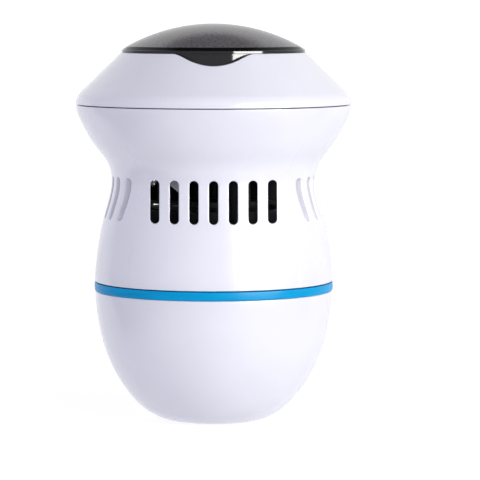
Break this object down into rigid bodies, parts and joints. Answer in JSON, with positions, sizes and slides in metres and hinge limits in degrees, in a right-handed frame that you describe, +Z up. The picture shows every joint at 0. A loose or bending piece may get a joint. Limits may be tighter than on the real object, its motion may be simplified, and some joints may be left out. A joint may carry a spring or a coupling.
{
  "type": "electric callus remover",
  "caption": "Hand-held rechargeable vacuum foot grinder: white bulb casing with a blue ring, waist vents and a smoke lid over a spinning abrasive disc.",
  "frame": {"origin": "middle of the flat base, on the surface that it stands on", "axes": "+Z up along the motor's axis, front with the finger notch towards -Y, +X to the right"},
  "size_m": [0.121, 0.121, 0.175],
  "materials": {
    "smoke_lid": "polished smoke-tinted polycarbonate",
    "white_shell": "glossy white ABS",
    "blue_band": "glossy azure ABS",
    "rubber_pad": "matte",
    "dark_plastic": "fine-textured black ABS",
    "platen_plastic": "satin dark grey nylon",
    "abrasive": "silicon carbide grit on paper",
    "inner_white": "satin white ABS",
    "impeller_plastic": "satin black",
    "steel": "ground",
    "zinc_steel": "zinc-plated, satin",
    "screw_steel": "zinc-plated",
    "motor_plastic": "black nylon",
    "ferrite": "dark grey ferrite",
    "winding": "enamelled copper",
    "bronze": "sintered bronze",
    "felt": "pressed wool felt",
    "sponge": "open-cell filter foam",
    "cell_wrap": "shrink sleeve",
    "board_green": "solder mask",
    "button_grey": "satin pale grey",
    "clear_lens": "clear light pipe",
    "lead_red": "PVC insulation",
    "lead_black": "PVC insulation"
  },
  "bodies": {
    "root": {"body_shell": "white_shell", "lower_shell": "white_shell", "accent_ring": "blue_band", "foot_pad": "rubber_pad", "fan_base": "dark_plastic", "filter_cage": "dark_plastic", "fan_deck": "inner_white", "dust_tray": "inner_white", "motor_mount": "inner_white", "battery_holder": "inner_white", "motor_can": "zinc_steel", "motor_end_cap": "motor_plastic", "motor_magnets": "ferrite", "shaft_bushes": "bronze", "motor_terminals": "bronze", "shaft_seal": "felt", "filter_sponge": "sponge", "battery_cell": "cell_wrap", "cell_tabs": "steel", "control_board": "board_green", "charge_board": "board_green", "board_parts": "motor_plastic", "power_switch": "motor_plastic", "indicator_lens": "clear_lens", "charge_socket": "steel", "motor_leads": "lead_red", "battery_leads": "lead_red", "charge_leads": "lead_black", "base_screws": "screw_steel", "deck_screws": "screw_steel", "mount_screws": "screw_steel", "tray_screws": "screw_steel", "motor_screws": "screw_steel", "holder_screws": "screw_steel"},
    "head": {"head_cover": "white_shell", "suction_ring": "dark_plastic", "suction_ring_screws": "screw_steel", "head_seal": "rubber_pad"},
    "lid": {"lid": "smoke_lid"},
    "rotor": {"abrasive_disc": "abrasive", "disc_holder": "platen_plastic", "motor_shaft": "steel", "motor_armature": "winding", "impeller": "impeller_plastic"},
    "button": {"power_button": "button_grey"}
  },
  "joints": [
    {"name": "spindle_spin", "type": "hinge", "parent": "root", "child": "rotor", "pos_m": [0, 0, 0.13], "axis": [0, 0, 1], "continuous": true},
    {"name": "head_lift", "type": "slide", "parent": "root", "child": "head", "axis": [0, 0, 1], "range_m": [0, 0.06]},
    {"name": "lid_lift", "type": "slide", "parent": "head", "child": "lid", "axis": [0, 0, 1], "range_m": [0, 0.04]},
    {"name": "button_press", "type": "slide", "parent": "root", "child": "button", "axis": [0, -1, 0], "range_m": [0, 0.0012], "stiffness_N_per_m": 500}
  ]
}
